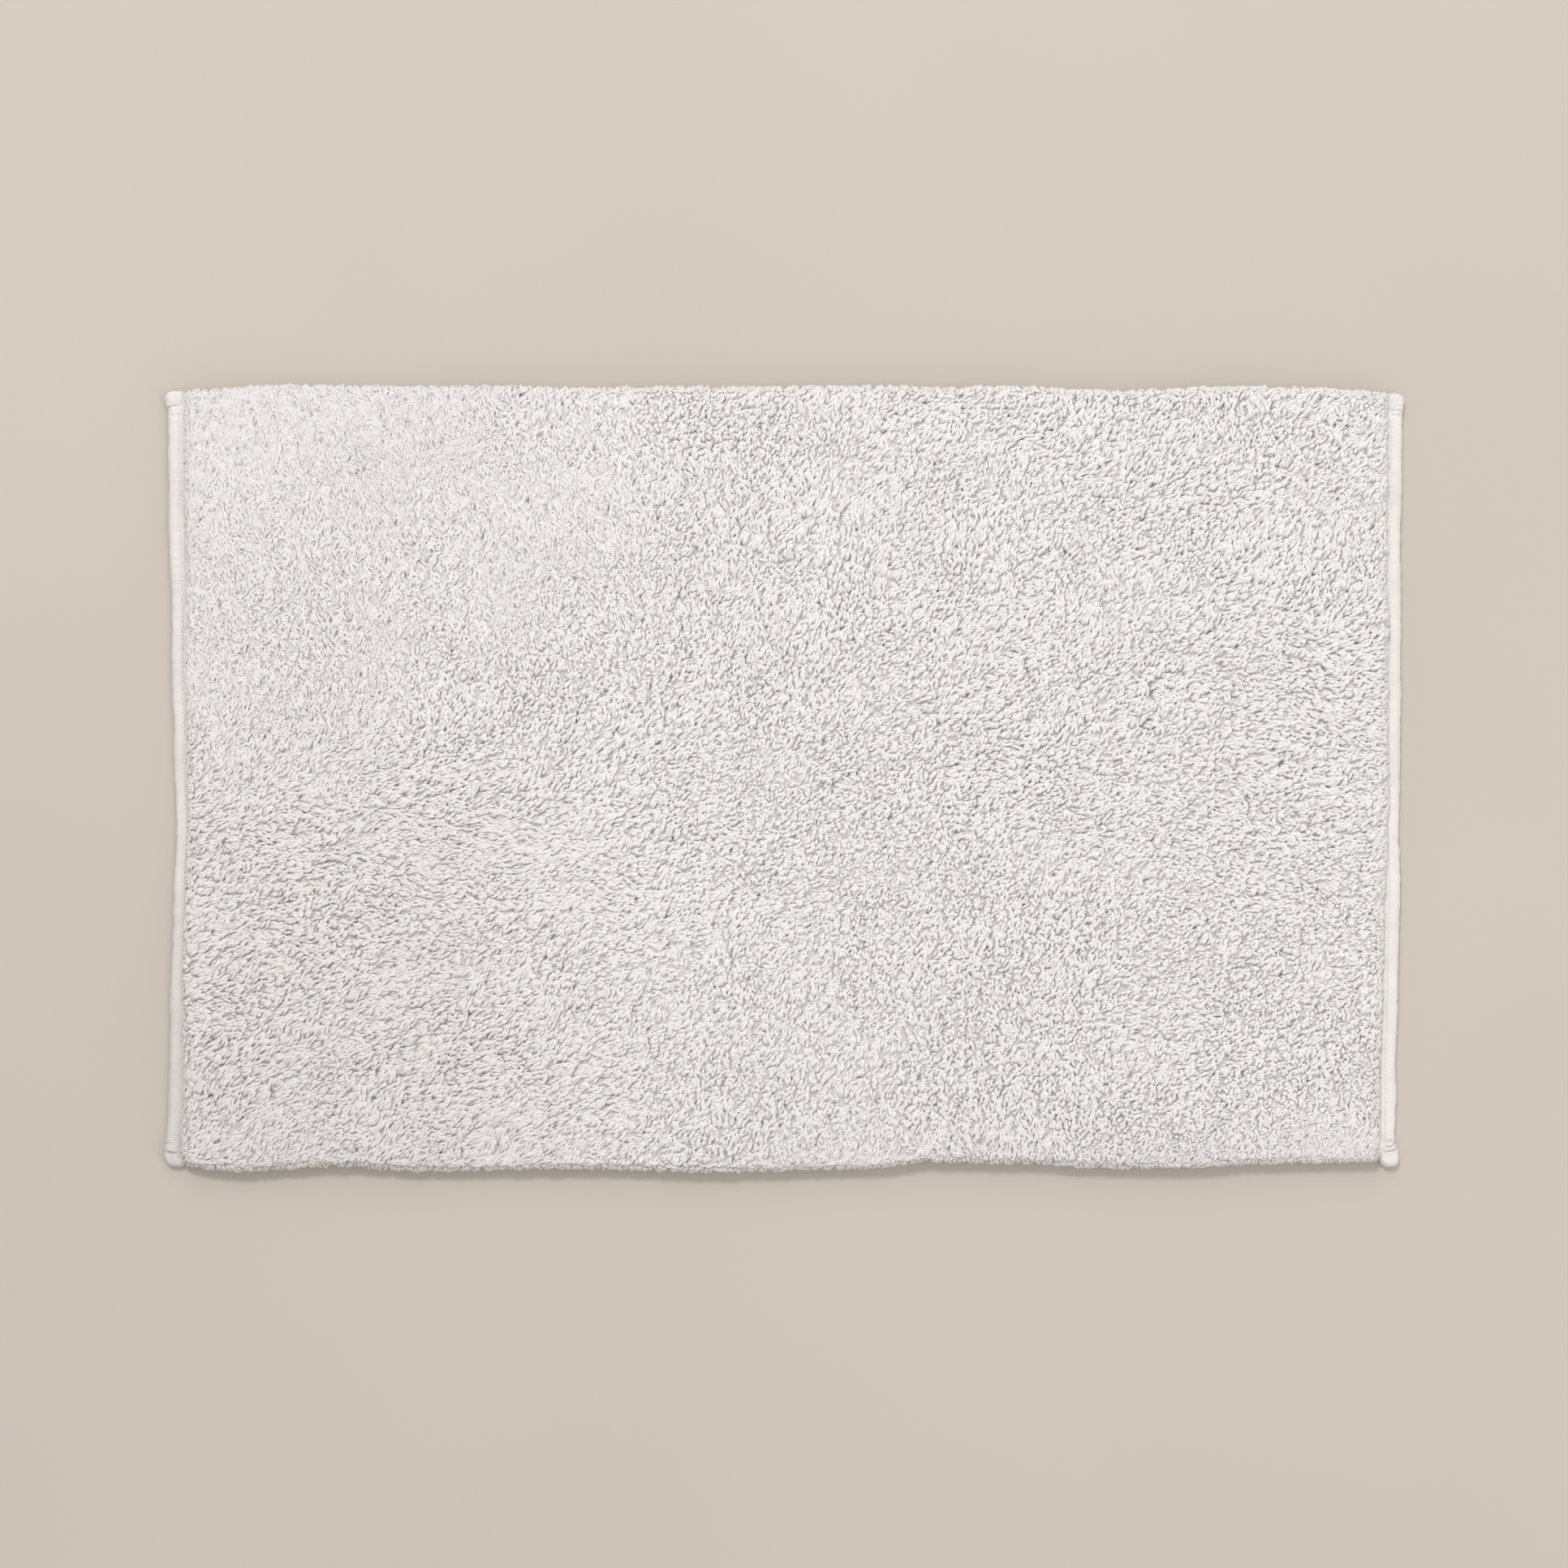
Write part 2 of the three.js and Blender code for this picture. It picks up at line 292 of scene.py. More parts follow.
def tubes(lines, radii, across, sides, turns, lobe=0.0, flatness=1.0):
    """Closed tubes along many lines at once, as points, faces and each point's place in the straightened yarn.

    lines is (tubes, rings, 3), radii (tubes, rings) and across (tubes, 3), pointing out of the line's plane.
    The yarn winds round `turns` times a metre, and its section can have two lobes, as two-ply yarn has."""
    count, rings = radii.shape
    along = unit(np.gradient(lines, axis=1))
    over = unit(np.cross(across[:, None], along))
    beside = np.cross(along, over)
    steps = np.linalg.norm(np.diff(lines, axis=1), axis=-1)
    length = np.concatenate([np.zeros((count, 1)), np.cumsum(steps, axis=1)], axis=1)
    angle = np.arange(sides) * 2 * math.pi / sides
    wound = angle - length[..., None] * turns * 2 * math.pi
    reach = radii[..., None] * (1 + lobe * np.cos(2 * wound))
    ring_points = (
        lines[:, :, None]
        + (flatness * reach * np.cos(angle))[..., None] * over[:, :, None]
        + (reach * np.sin(angle))[..., None] * beside[:, :, None]
    )
    tips = lines[:, -1:] + along[:, -1:] * radii[:, -1:, None] * 0.6
    points = np.concatenate([ring_points.reshape(count, -1, 3), lines[:, :1], tips], axis=1)
    yarn = np.stack([reach * np.cos(wound), reach * np.sin(wound), length[..., None] + 0 * wound], axis=-1)
    middle = np.zeros((count, 2, 3))
    middle[:, 1, 2] = length[:, -1]
    yarn = np.concatenate([yarn.reshape(count, -1, 3), middle], axis=1)

    root, tip = rings * sides, rings * sides + 1
    first, last = np.arange(sides), (rings - 1) * sides + np.arange(sides)
    root_fan = np.stack([np.roll(first, -1), first, np.full(sides, root)], axis=-1)
    tip_fan = np.stack([last, np.roll(last, -1), np.full(sides, tip)], axis=-1)
    starts = np.arange(count)[:, None, None] * (rings * sides + 2)
    one_tube = (ring_quads(rings, sides), root_fan, tip_fan)
    faces = [(starts + rows).reshape(-1, rows.shape[1]) for rows in one_tube]
    return points.reshape(-1, 3), faces, yarn.reshape(-1, 3)


def unroll_tubes(count, rings, sides):
    """Tubes unrolled, each into its own cell of a square map: (u, v) for each corner of each face."""
    margin = 0.1
    ring, side = np.meshgrid(np.arange(rings - 1), np.arange(sides), indexing="ij")
    ring, side = ring.reshape(-1, 1), side.reshape(-1, 1)
    edge = np.arange(sides)[:, None]
    corners = [
        (side + (0, 1, 1, 0), ring + (1, 1, 2, 2)),
        (edge + (1, 0, 0.5), 0 * edge + (1, 1, 0)),
        (edge + (0, 1, 0.5), 0 * edge + (rings, rings, rings + 1)),
    ]
    cells = math.ceil(math.sqrt(count))
    number = np.arange(count)
    origins = np.stack([number % cells, number // cells], axis=-1)[:, None]
    maps = []
    for u, v in corners:
        inside = np.stack([u.ravel() / sides, v.ravel() / (rings + 1)], axis=-1)
        maps.append((origins + margin + (1 - 2 * margin) * inside).reshape(-1, 2) / cells)
    return np.concatenate(maps)


def loft(sections):
    """A closed skin through sections, an array of (stations, points around, 3), capped at both ends."""
    stations, around, _ = sections.shape
    caps = np.stack([np.arange(around)[::-1], (stations - 1) * around + np.arange(around)])
    return sections.reshape(-1, 3), [ring_quads(stations, around), caps]


def grid_faces(columns, rows):
    """The faces of a grid of points, counted along its rows first, and the points round its rim, clockwise."""
    i, j = np.meshgrid(np.arange(columns - 1), np.arange(rows - 1), indexing="ij")
    here = (i * rows + j).ravel()
    faces = np.stack([here, here + rows, here + rows + 1, here + 1], axis=-1)
    rim = np.concatenate([
        np.arange(rows),
        np.arange(2, columns + 1) * rows - 1,
        columns * rows - 2 - np.arange(rows - 1),
        np.arange(columns - 2, 0, -1) * rows,
    ])
    return faces, rim


def slab(x, y, top, bottom):
    """A closed slab over a grid of places x and y, between the heights top and bottom."""
    sheets = [np.stack([x, y, heights], axis=-1).reshape(-1, 3) for heights in (top, bottom)]
    upper, rim = grid_faces(*x.shape)
    size = x.size
    after = np.roll(rim, -1)
    wall = np.stack([rim, after, after + size, rim + size], axis=-1)
    return np.concatenate(sheets), [upper, (upper + size)[:, ::-1], wall]


# Materials ---


class Nodes:
    """A material's node tree, with a short way to add and link nodes."""

    def __init__(self, name, roughness, sheen=0.0):
        self.material = bpy.data.materials.new(name)
        self.material.use_nodes = True
        self.tree = self.material.node_tree
        self.shader = self.tree.nodes["Principled BSDF"]
        surface = {"Roughness": roughness, "Specular IOR Level": 0.25}
        surface.update({"Sheen Weight": sheen, "Sheen Roughness": 0.5})
        for key, value in surface.items():
            self.put(self.shader.inputs[key], value)

    def put(self, socket, value):
        """Links a socket to another node's output, or gives it a plain value."""
        if isinstance(value, bpy.types.NodeSocket):
            self.tree.links.new(value, socket)
        else:
            socket.default_value = value

    def add(self, kind, inputs=None, **settings):
        node = self.tree.nodes.new(kind)
        for key, value in settings.items():
            setattr(node, key, value)
        for key, value in (inputs or {}).items():
            self.put(node.inputs[key], value)
        return node

    def calculate(self, operation, *values):
        return self.add("ShaderNodeMath", dict(enumerate(values)), operation=operation).outputs[0]

    def attribute(self, name, output="Fac"):
        return self.add("ShaderNodeAttribute", attribute_name=name).outputs[output]

    def place(self):
        """Where a point is on the piece, in metres."""
        return self.add("ShaderNodeTexCoord").outputs["Object"]

    def noise(self, where, scale, detail=3.0, stretch=(1, 1, 1)):
        mapped = self.add("ShaderNodeMapping", {"Vector": where, "Scale": stretch}).outputs[0]
        inputs = {"Vector": mapped, "Scale": scale, "Detail": detail}
        return self.add("ShaderNodeTexNoise", inputs).outputs[0]

    def ramp(self, factor, *stops):
        """Colours or greys along a factor: each stop is (position, colour)."""
        node = self.add("ShaderNodeValToRGB", {"Fac": factor})
        elements = node.color_ramp.elements
        while len(elements) < len(stops):
            elements.new(0.5)
        for element, (position, colour) in zip(elements, stops):
            element.position = position
            element.color = (*colour, 1)
        return node.outputs[0]

    def mix(self, factor, first, second, blend="MIX"):
        node = self.add("ShaderNodeMix", data_type="RGBA", blend_type=blend)
        sockets = {socket.name: socket for socket in node.inputs if socket.enabled}
        for key, value in (("Factor", factor), ("A", first), ("B", second)):
            self.put(sockets[key], (*value, 1) if isinstance(value, tuple) else value)
        return [socket for socket in node.outputs if socket.enabled][0]

    def tinted(self, colour, tint):
        return self.mix(1.0, colour, tint, "MULTIPLY")

    def painted_front_left_shade(self, colour, least):
        """The colour with painted shade, greyer towards the mat's front left corner, where it is `least` as
        bright.
        """
        x, y, _ = self.add("ShaderNodeSeparateXYZ", {"Vector": self.place()}).outputs
        low, high = SHADE_RANGE
        inputs = {"Value": self.calculate("MULTIPLY_ADD", x, SHADE_SLANT, y), "From Min": low, "From Max": high}
        share = self.add("ShaderNodeMapRange", inputs).outputs[0]
        return self.tinted(colour, self.ramp(share, (0, grey(least)), (1, grey(1.0))))

    def finish(self, colour, height, strength, distance, roughness=None):
        """The material, with its colour, relief and roughness."""
        bump = self.add("ShaderNodeBump", {"Height": height, "Strength": strength, "Distance": distance})
        self.put(self.shader.inputs["Base Color"], colour)
        self.put(self.shader.inputs["Normal"], bump.outputs[0])
        if roughness is not None:
            self.put(self.shader.inputs["Roughness"], roughness)
        return self.material


def grey(value):
    return (value, value, value)


def pile_material():
    """Soft cotton yarn: fibres that wind with the ply, painted shade that darkens each strand towards its root,
    and each strand a little different.
    """
    # The root, middle and tip colours hold painted shade: darker deeper down in the pile.
    root, middle, tip = (0.50, 0.49, 0.475), (0.78, 0.765, 0.755), (0.915, 0.90, 0.90)
    felt_face = (0.855, 0.835, 0.84)
    # The first grey is painted shade: tones below 0.25 come only from the lowered tone at the front left.
    shaded_grey, dull = (0.86, 0.85, 0.84), (0.93, 0.92, 0.90)
    usual, bright = (0.99, 0.975, 0.98), (0.975, 0.99, 1.0)
    nodes = Nodes("cotton_pile", roughness=0.92, sheen=0.35)
    felt = nodes.attribute("felt")
    fibres = nodes.noise(nodes.attribute("yarn", "Vector"), 1150, detail=4, stretch=(1, 1, 0.2))
    # Painted shade: each strand darkens from its tip down to its root.
    body = nodes.ramp(nodes.attribute("along"), (0.0, root), (0.4, middle), (0.8, tip))
    body = nodes.mix(felt, body, felt_face)
    shade = nodes.ramp(nodes.attribute("tone"), (0.0, shaded_grey), (0.25, dull), (0.62, usual), (1.0, bright))
    streak = nodes.ramp(fibres, (0.3, grey(0.88)), (0.6, grey(1.0)))
    streak = nodes.mix(felt, streak, grey(0.97))
    # Painted shade: the yarn's colour is darker towards the front left.
    colour = nodes.painted_front_left_shade(nodes.tinted(nodes.tinted(body, shade), streak), 0.92)
    rough = nodes.ramp(fibres, (0.3, grey(0.98)), (0.7, grey(0.82)))
    return nodes.finish(colour, fibres, strength=0.4, distance=0.5 * MM, roughness=rough)


def woven_material(name, light, dip_shade, pitch, strength):
    """Plain woven cotton: over and under threads with painted shade where they dip, slubs and slight soiling."""
    nodes = Nodes(name, roughness=0.88, sheen=0.2)
    where = nodes.attribute("cloth", "Vector")
    x, y, _ = nodes.add("ShaderNodeSeparateXYZ", {"Vector": where}).outputs
    waves = [nodes.calculate("SINE", nodes.calculate("MULTIPLY", place, math.pi / pitch)) for place in (x, y)]
    slubs = nodes.noise(where, 900, detail=3)
    soil = nodes.noise(where, 35, detail=4)
    height = nodes.calculate("MULTIPLY_ADD", nodes.calculate("MULTIPLY", *waves), 0.5, slubs)
    # Painted shade: the lower threads and dips of the weave get the darker colour.
    thread = nodes.ramp(height, (0.15, dip_shade), (0.75, light))
    colour = nodes.tinted(thread, nodes.ramp(soil, (0.35, grey(0.91)), (0.65, grey(1.0))))
    rough = nodes.ramp(slubs, (0.3, grey(0.95)), (0.7, grey(0.8)))
    # Painted shade: the cloth's colour is darker towards the front left.
    return nodes.finish(nodes.painted_front_left_shade(colour, 0.82), height, strength, distance=0.15 * MM, roughness=rough)


def thread_material():
    """Twisted sewing thread, a little glossier than the cloth."""
    nodes = Nodes("sewing_thread", roughness=0.6, sheen=0.15)
    strands = nodes.noise(nodes.attribute("yarn", "Vector"), 5000, detail=2, stretch=(1, 1, 0.2))
    colour = nodes.ramp(strands, (0.3, (0.74, 0.72, 0.68)), (0.7, (0.88, 0.865, 0.83)))
    return nodes.finish(colour, strands, strength=0.4, distance=0.1 * MM)


def latex_material():
    """A thin brushed coat of latex, slightly yellow, with pits where it soaked into the cloth."""
    nodes = Nodes("latex_coat", roughness=0.55)
    where = nodes.place()
    brush_marks = nodes.noise(where, 220, detail=5, stretch=(0.35, 1, 1))
    blotches = nodes.ramp(nodes.noise(where, 18, detail=3), (0.35, grey(0)), (0.65, grey(1)))
    pitted = nodes.ramp(nodes.noise(where, 1500, detail=2), (0.3, grey(0.86)), (0.5, grey(1.0)))
    colour = nodes.tinted(nodes.mix(blotches, (0.70, 0.66, 0.57), (0.76, 0.73, 0.65)), pitted)
    rough = nodes.ramp(brush_marks, (0.3, grey(0.45)), (0.7, grey(0.7)))
    return nodes.finish(colour, brush_marks, strength=0.6, distance=0.3 * MM, roughness=rough)


def satin_material():
    """A blank satin label: fine long threads with a soft gloss."""
    nodes = Nodes("label_satin", roughness=0.4, sheen=0.1)
    threads = nodes.noise(nodes.place(), 4000, detail=2, stretch=(0.05, 1, 1))
    colour = nodes.ramp(threads, (0.3, (0.80, 0.79, 0.76)), (0.7, (0.90, 0.89, 0.87)))
    rough = nodes.ramp(threads, (0.3, grey(0.5)), (0.7, grey(0.32)))
    return nodes.finish(colour, threads, strength=0.3, distance=0.05 * MM, roughness=rough)


def floor_material():
    """A plain, pale, matt painted floor with faint clouding."""
    nodes = Nodes("painted_floor", roughness=0.85)
    where = nodes.place()
    grain = nodes.noise(where, 900, detail=2)
    clouds = nodes.noise(where, 1.6, detail=3)
    colour = nodes.ramp(clouds, (0.3, (0.548, 0.498, 0.452)), (0.7, (0.576, 0.522, 0.473)))
    return nodes.finish(colour, grain, strength=0.05, distance=0.1 * MM)


# Pile ---


def past_core(x, y):
    """How far places are out from the core of the pile, and which way. The core is as far inside the pile's
    outline as its corners are round."""
    core_x, core_y = PILE_HIGH.x - PILE_CORNER, PILE_HIGH.y - PILE_CORNER
    out_x = x - np.clip(x, -core_x, core_x)
    out_y = y - np.clip(y, -core_y, core_y)
    distance = (np.abs(out_x) ** CORNER_SQUARE + np.abs(out_y) ** CORNER_SQUARE) ** (1 / CORNER_SQUARE)
    return distance, np.stack([out_x, out_y], axis=-1) / np.maximum(distance, TINY)[..., None]


def border(outward):
    """The pile's border in each direction: its level part, radius, angle and straight run."""
    end_share = outward[..., 0] ** 2
    values = [side + (end - side) * end_share for side, end in zip(SIDE_BORDER, END_BORDER)]
    radius, angle, run = values[0] * MM, np.radians(values[1]), values[2] * MM
    return PILE_CORNER - radius * np.sin(angle) - run * np.cos(angle), radius, angle, run


def border_reach(outward):
    """How far out from its core the flat pile goes, once its bent border is counted."""
    level, radius, angle, run = border(outward)
    return level + radius * angle + run


def over_edge(points):
    """Points of an endless flat pile, with its border bent round and down over the tape."""
    x, y, z = np.moveaxis(points, -1, 0)
    distance, outward = past_core(x, y)
    level, radius, most, _ = border(outward)
    past = np.maximum(distance - level, 0)
    angle = np.minimum(past / radius, most)
    further = LONGEST_RUN * np.tanh(np.maximum(past - radius * most, 0) / LONGEST_RUN)
    reach = z - PILE_HIGH.z + radius
    drawn_in = (0.2 - 0.5 * patches(x, y, 34 * MM, seed=10) - 0.4 * patches(x, y, 5 * MM, seed=18)) * MM
    drawn_in += outward[..., 0] ** 2 * np.where(x < 0, wander(y, LEFT_PILE), wander(y, RIGHT_PILE))
    moved = level + reach * np.sin(angle) + further * np.cos(angle) - drawn_in * smooth(angle)
    moved = np.where(past > 0, moved, distance)
    flat = np.stack([x, y], axis=-1) + outward * (moved - distance)[..., None]
    height = PILE_HIGH.z - radius + reach * np.cos(angle) - further * np.sin(angle)
    return np.concatenate([flat, height[..., None]], axis=-1)


def strand_roots(random):
    """Where the strands come up: on a loose grid over the whole flat pile, and on a second one where it is
    felted and, more thinly, along the border."""
    farthest = border_reach(np.eye(2)).max()
    halves = (PILE_HIGH.x - PILE_CORNER + farthest, PILE_HIGH.y - PILE_CORNER + farthest)
    x, y = np.meshgrid(*(np.arange(-half, half, SPACING) for half in halves))
    roots = np.stack([x.ravel(), y.ravel()], axis=-1)
    between = roots + SPACING / 2
    at_border = BORDER_EXTRA * smooth(past_core(*between.T)[0] / PILE_CORNER)
    between = between[random.uniform(0, 1, len(between)) < np.maximum(felted(*between.T), at_border)]
    roots = np.concatenate([roots, between])
    roots += random.uniform(-ROOT_JITTER, ROOT_JITTER, roots.shape) * SPACING
    distance, outward = past_core(*roots.T)
    return roots[distance < border_reach(outward)]


def stroked(x, y, values):
    """What the strokes say at each place, one value a stroke, blended from those near it."""
    away = [np.hypot(x / MM - stroke[0], y / MM - stroke[1]) for stroke in STROKES]
    weights = np.exp(-((np.stack(away, axis=-1) / STROKE_SIZE) ** 2)) + LEAST_WEIGHT
    return (weights * values).sum(axis=-1) / weights.sum(axis=-1)


def felted(x, y):
    """Where the strands tangle into an even, felt-like face: from 0 for combed pile to 1."""
    front = smooth((-y - PILE_HIGH.y + FRONT_BAND) / FRONT_FADE)
    right = smooth((x + FRONT_CHANGE / 2) / FRONT_CHANGE)
    felt = stroked(x, y, np.array(STROKES)[:, FELT]) + 0.25 * patches(x, y, 45 * MM, seed=4)
    return np.clip(felt + (FRONT_FELT + FRONT_MORE * right) * front, 0, 1)


def painted_shade_share(x, y):
    """Where the yarn's colour gets a little painted shade, at the front left: from 0 to 1."""
    from_x, from_y = SHADE_FROM
    fade_x, fade_y = SHADE_FADE
    return smooth((from_x - x) / fade_x) * smooth((from_y - y) / fade_y)


def falling(x, y):
    """Which strands fall outwards over the border, and which way outwards is, in radians."""
    distance, outward = past_core(x, y)
    past = distance - PILE_CORNER + FALL_WANDER * patches(x, y, 11 * MM, seed=20)
    over_from, over_fade = OVER_EDGE
    inner = 1 - smooth((past - over_from) / over_fade)
    in_front = np.clip(-outward[:, 1], 0, 1) ** 2
    most = MOST_FALL - FEWER_AT_ENDS * outward[:, 0] ** 2 - FEWER_IN_FRONT * inner * in_front
    falls = 0.5 + 0.5 * patches(x, y, 6 * MM, seed=17) < most * smooth((past + FALL_BAND) / FALL_BAND)
    return falls, np.arctan2(outward[:, 1], outward[:, 0])


def brushed(x, y, character, random):
    """Which way each strand leans and how far its tip reaches, as a vector."""
    strokes = np.array(STROKES)
    turns = np.radians(strokes[:, HEADING])
    heading = np.arctan2(stroked(x, y, np.sin(turns)), stroked(x, y, np.cos(turns)))
    heading += 0.35 * patches(x, y, 38 * MM, seed=5) + 0.3 * patches(x, y, 13 * MM, seed=6)
    falls, outwards = falling(x, y)
    heading = np.where(falls, outwards, heading)
    wild = 0.65 * character[:, 0] + random.normal(0, 0.5, len(x))
    heading += np.radians(stroked(x, y, strokes[:, TANGLE])) * wild
    reach = stroked(x, y, strokes[:, REACH]) * MM * (1 + 0.3 * patches(x, y, 22 * MM, seed=7))
    reach *= (1 + 0.12 * character[:, 1]) * random.uniform(0.9, 1.3, len(x))
    return np.stack([np.cos(heading), np.sin(heading)], axis=-1) * reach[:, None]


def tufts(roots, random):
    """The tuft that each strand belongs to: its middle, and two random numbers for its character."""
    cell = np.floor(roots / TUFT).astype(int)
    jitter = random.uniform(0.1, 0.9, (CELLS, CELLS, 2))
    spread = random.normal(0, 1, (CELLS, CELLS, 2))
    best = np.full(len(roots), np.inf)
    middle, character = roots.copy(), np.zeros_like(roots)
    for step in NEIGHBOURS:
        at = cell + step
        index = (at[:, 0] % CELLS, at[:, 1] % CELLS)
        place = (at + jitter[index]) * TUFT
        away = np.linalg.norm(place - roots, axis=1)
        nearer = away < best
        best[nearer], middle[nearer], character[nearer] = away[nearer], place[nearer], spread[index][nearer]
    return middle, character


def pits(x, y):
    """How far the pile drops at each place, in small gaps that are longer across the mat than along it."""
    random = np.random.default_rng(19)
    jitter = random.uniform(0, 1, (CELLS, CELLS, 2))
    depth = PIT_DEPTH * random.uniform(-0.3, 1, (CELLS, CELLS))
    column, row = (np.floor(values / PIT_SPACING).astype(int) for values in (x, y))
    drop = np.zeros_like(x)
    for i, j in NEIGHBOURS:
        index = ((column + i) % CELLS, (row + j) % CELLS)
        away_x = x - (column + i + jitter[index][..., 0]) * PIT_SPACING
        away_y = y - (row + j + jitter[index][..., 1]) * PIT_SPACING
        near = np.exp(-((away_x / PIT_WIDTH) ** 2) - (away_y / PIT_WIDTH / PIT_LENGTH) ** 2)
        drop = np.maximum(drop, depth[index] * near)
    return drop


def strand_tops(roots, middle, character, felt, random):
    """How high each strand comes: domed over its tuft, uneven where it isn't felted, and some lower."""
    x, y = roots.T
    from_middle = np.linalg.norm(roots - middle, axis=1) / TUFT
    uneven = 0.25 * MM * character[:, 1] + random.normal(0, 0.15 * MM, len(roots))
    uneven -= TUFT_DOME * smooth(from_middle / 0.6)
    swells = 0.5 * MM * patches(x, y, 60 * MM, seed=8)
    loose = (0.13 + 0.1 * patches(x, y, 24 * MM, seed=16)) * (1 - 0.7 * felt)
    top = PILE_HIGH.z - STRAND_RADIUS + swells + uneven * (1 - 0.75 * felt)
    return top - LOOSE_DROP * (random.uniform(0, 1, len(roots)) < loose)


def strand_lines(roots, random):
    """The centrelines of strands in the flat pile, from root to tip, and a level direction across each."""
    felt = felted(*roots.T)
    middle, character = tufts(roots, random)
    tips = roots + brushed(*roots.T, character, random) + (middle - roots) * TUFT_PULL
    top = strand_tops(roots, middle, character, felt, random)
    lean = unit(tips - roots)
    across = np.stack([-lean[:, 1], lean[:, 0], np.zeros(len(lean))], axis=-1)
    t = STRAND_RINGS[None, :]
    flat = roots[:, None] + (tips - roots)[:, None] * (t**LEAN_POWER)[..., None]
    crinkle = random.normal(0, CRINKLE, (len(roots), 1)) * np.sin(4.5 * t)
    flat += crinkle[..., None] * across[:, None, :2]
    start = PILE_HIGH.z - PACKED_DEPTH - ROOT_DEPTH
    heights = start + (top - start)[:, None] * (1 - (1 - t) ** RISE_POWER)
    heights -= TIP_DIP * (1 - 0.5 * felt[:, None]) * t**4
    heights -= pits(flat[..., 0], flat[..., 1]) * t
    return np.concatenate([flat, heights[..., None]], axis=-1), across


def swell(rings):
    """How thick a strand is along its length: fullest where it bends over, and narrower at the cut tip."""
    return 0.8 + 0.35 * np.sin(math.pi * rings) - 0.36 * rings**3


def packed_pile(material):
    """The lower part of the pile, where the yarns stand packed together, as one bumpy body on a flat foot."""
    farthest = border_reach(np.eye(2)).max()
    spread = (PILE_HIGH.x - PILE_CORNER, PILE_HIGH.y - PILE_CORNER)
    x, y = np.meshgrid(
        *(closer_at_ends(half + farthest, farthest, 1.5 * MM, 2.3 * MM) for half in spread), indexing="ij"
    )
    distance, outward = past_core(x, y)
    pull = np.minimum(border_reach(outward) - distance, 0)
    x, y = x + outward[..., 0] * pull, y + outward[..., 1] * pull
    felt = felted(x, y)
    depth = PACKED_DEPTH + (FELTED_DEPTH - PACKED_DEPTH) * felt
    top = PILE_HIGH.z - depth - pits(x, y)
    top += np.random.default_rng(12).normal(0, PACKED_ROUGHNESS, top.shape)
    upper = over_edge(np.stack([x, y, top], axis=-1)).reshape(-1, 3)
    faces, rim = grid_faces(*x.shape)
    tufted = np.array([LATEX_HIGH.x, LATEX_HIGH.y]) - UPPER_LEG  # half the size of the cloth inside the tape
    foot = upper[rim]
    foot[:, :2] = np.clip(foot[:, :2], -tufted, tufted)
    foot[:, 2] = CLOTH_HIGH.z + 0.2 * MM
    low = len(upper) + np.arange(len(rim))
    wall = np.stack([rim, np.roll(rim, -1), np.roll(low, -1), low], axis=-1)
    points = np.concatenate([upper, foot])
    felt = np.concatenate([felt.ravel(), np.zeros(len(rim))])
    level = np.ones(len(points))
    faces = [faces, wall, low[None]]
    # Painted shade: the packed body takes the darker colour from a quarter of the way up a strand.
    attributes = [("yarn", 0.4 * points), ("along", 0.25 * level)]
    attributes += [("tone", 0.62 * level), ("felt", 0.6 * felt)]
    mesh_object("pile_packed_yarn", points, faces, material, ["pile"], attributes)


def pile_strip(name, lines, across, material, random):
    """The strands of one strip across the mat, each with its own thickness, shade and fibres."""
    thickness = STRAND_RADIUS * random.uniform(0.75, 1.25, len(lines))
    felt = felted(lines[:, 0, 0], lines[:, 0, 1])
    thickness *= 1 - 0.4 * felt
    uneven = random.uniform(0.85, 1.15, lines.shape[:2])
    radii = thickness[:, None] * swell(STRAND_RINGS)[None, :] * uneven
    flatness = (STRAND_FLATNESS - 0.15 * felt)[:, None, None]
    points, faces, yarn = tubes(lines, radii, across, STRAND_SIDES, YARN_TURNS, flatness=flatness)
    each = len(points) // len(lines)
    along = np.tile(np.concatenate([np.repeat(STRAND_RINGS, STRAND_SIDES), [0, 1]]), len(lines))
    # Painted shade: the strands' tone is lowered at the front left.
    tone = random.uniform(0.25, 1, len(lines)) * (1 - 0.55 * painted_shade_share(lines[:, 0, 0], lines[:, 0, 1]))
    tone, felt = np.repeat(tone, each), np.repeat(felt, each)
    offset = np.repeat(random.uniform(0, 1, (len(lines), 3)), each, axis=0)
    attributes = [("yarn", yarn + offset), ("along", along), ("tone", tone), ("felt", felt)]
    unrolled = unroll_tubes(len(lines), len(STRAND_RINGS), STRAND_SIDES)
    mesh_object(name, over_edge(points), faces, material, ["pile"], attributes, unrolled)


def pile():
    """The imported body, and the strands in strips from left to right."""
    random = np.random.default_rng(11)
    material = pile_material()
    packed_pile(material)
    roots = strand_roots(random)
    lines, across = strand_lines(roots[np.argsort(roots[:, 0], kind="stable")], random)
    for number, strip in enumerate(np.array_split(np.arange(len(lines)), PILE_STRIPS), start=1):
        pile_strip(f"pile_rows_{number:02d}", lines[strip], across[strip], material, random)


# Cloth, latex and label ---


def steps(low, high, size):
    """Evenly spaced places from low to high, about `size` apart."""
    return np.linspace(low, high, max(2, round((high - low) / size) + 1))


def closer_at_ends(half, band, fine, coarse):
    """Grid lines from -half to half, closer together in a band at each end."""
    middle = steps(-half + band, half - band, coarse)
    end = steps(half - band, half, fine)[1:]
    return np.concatenate([-end[::-1], middle, end])


def grid_over(low, high, size):
    """The places x and y of a level grid between two corners."""
    return np.meshgrid(steps(low.x, high.x, size), steps(low.y, high.y, size), indexing="ij")


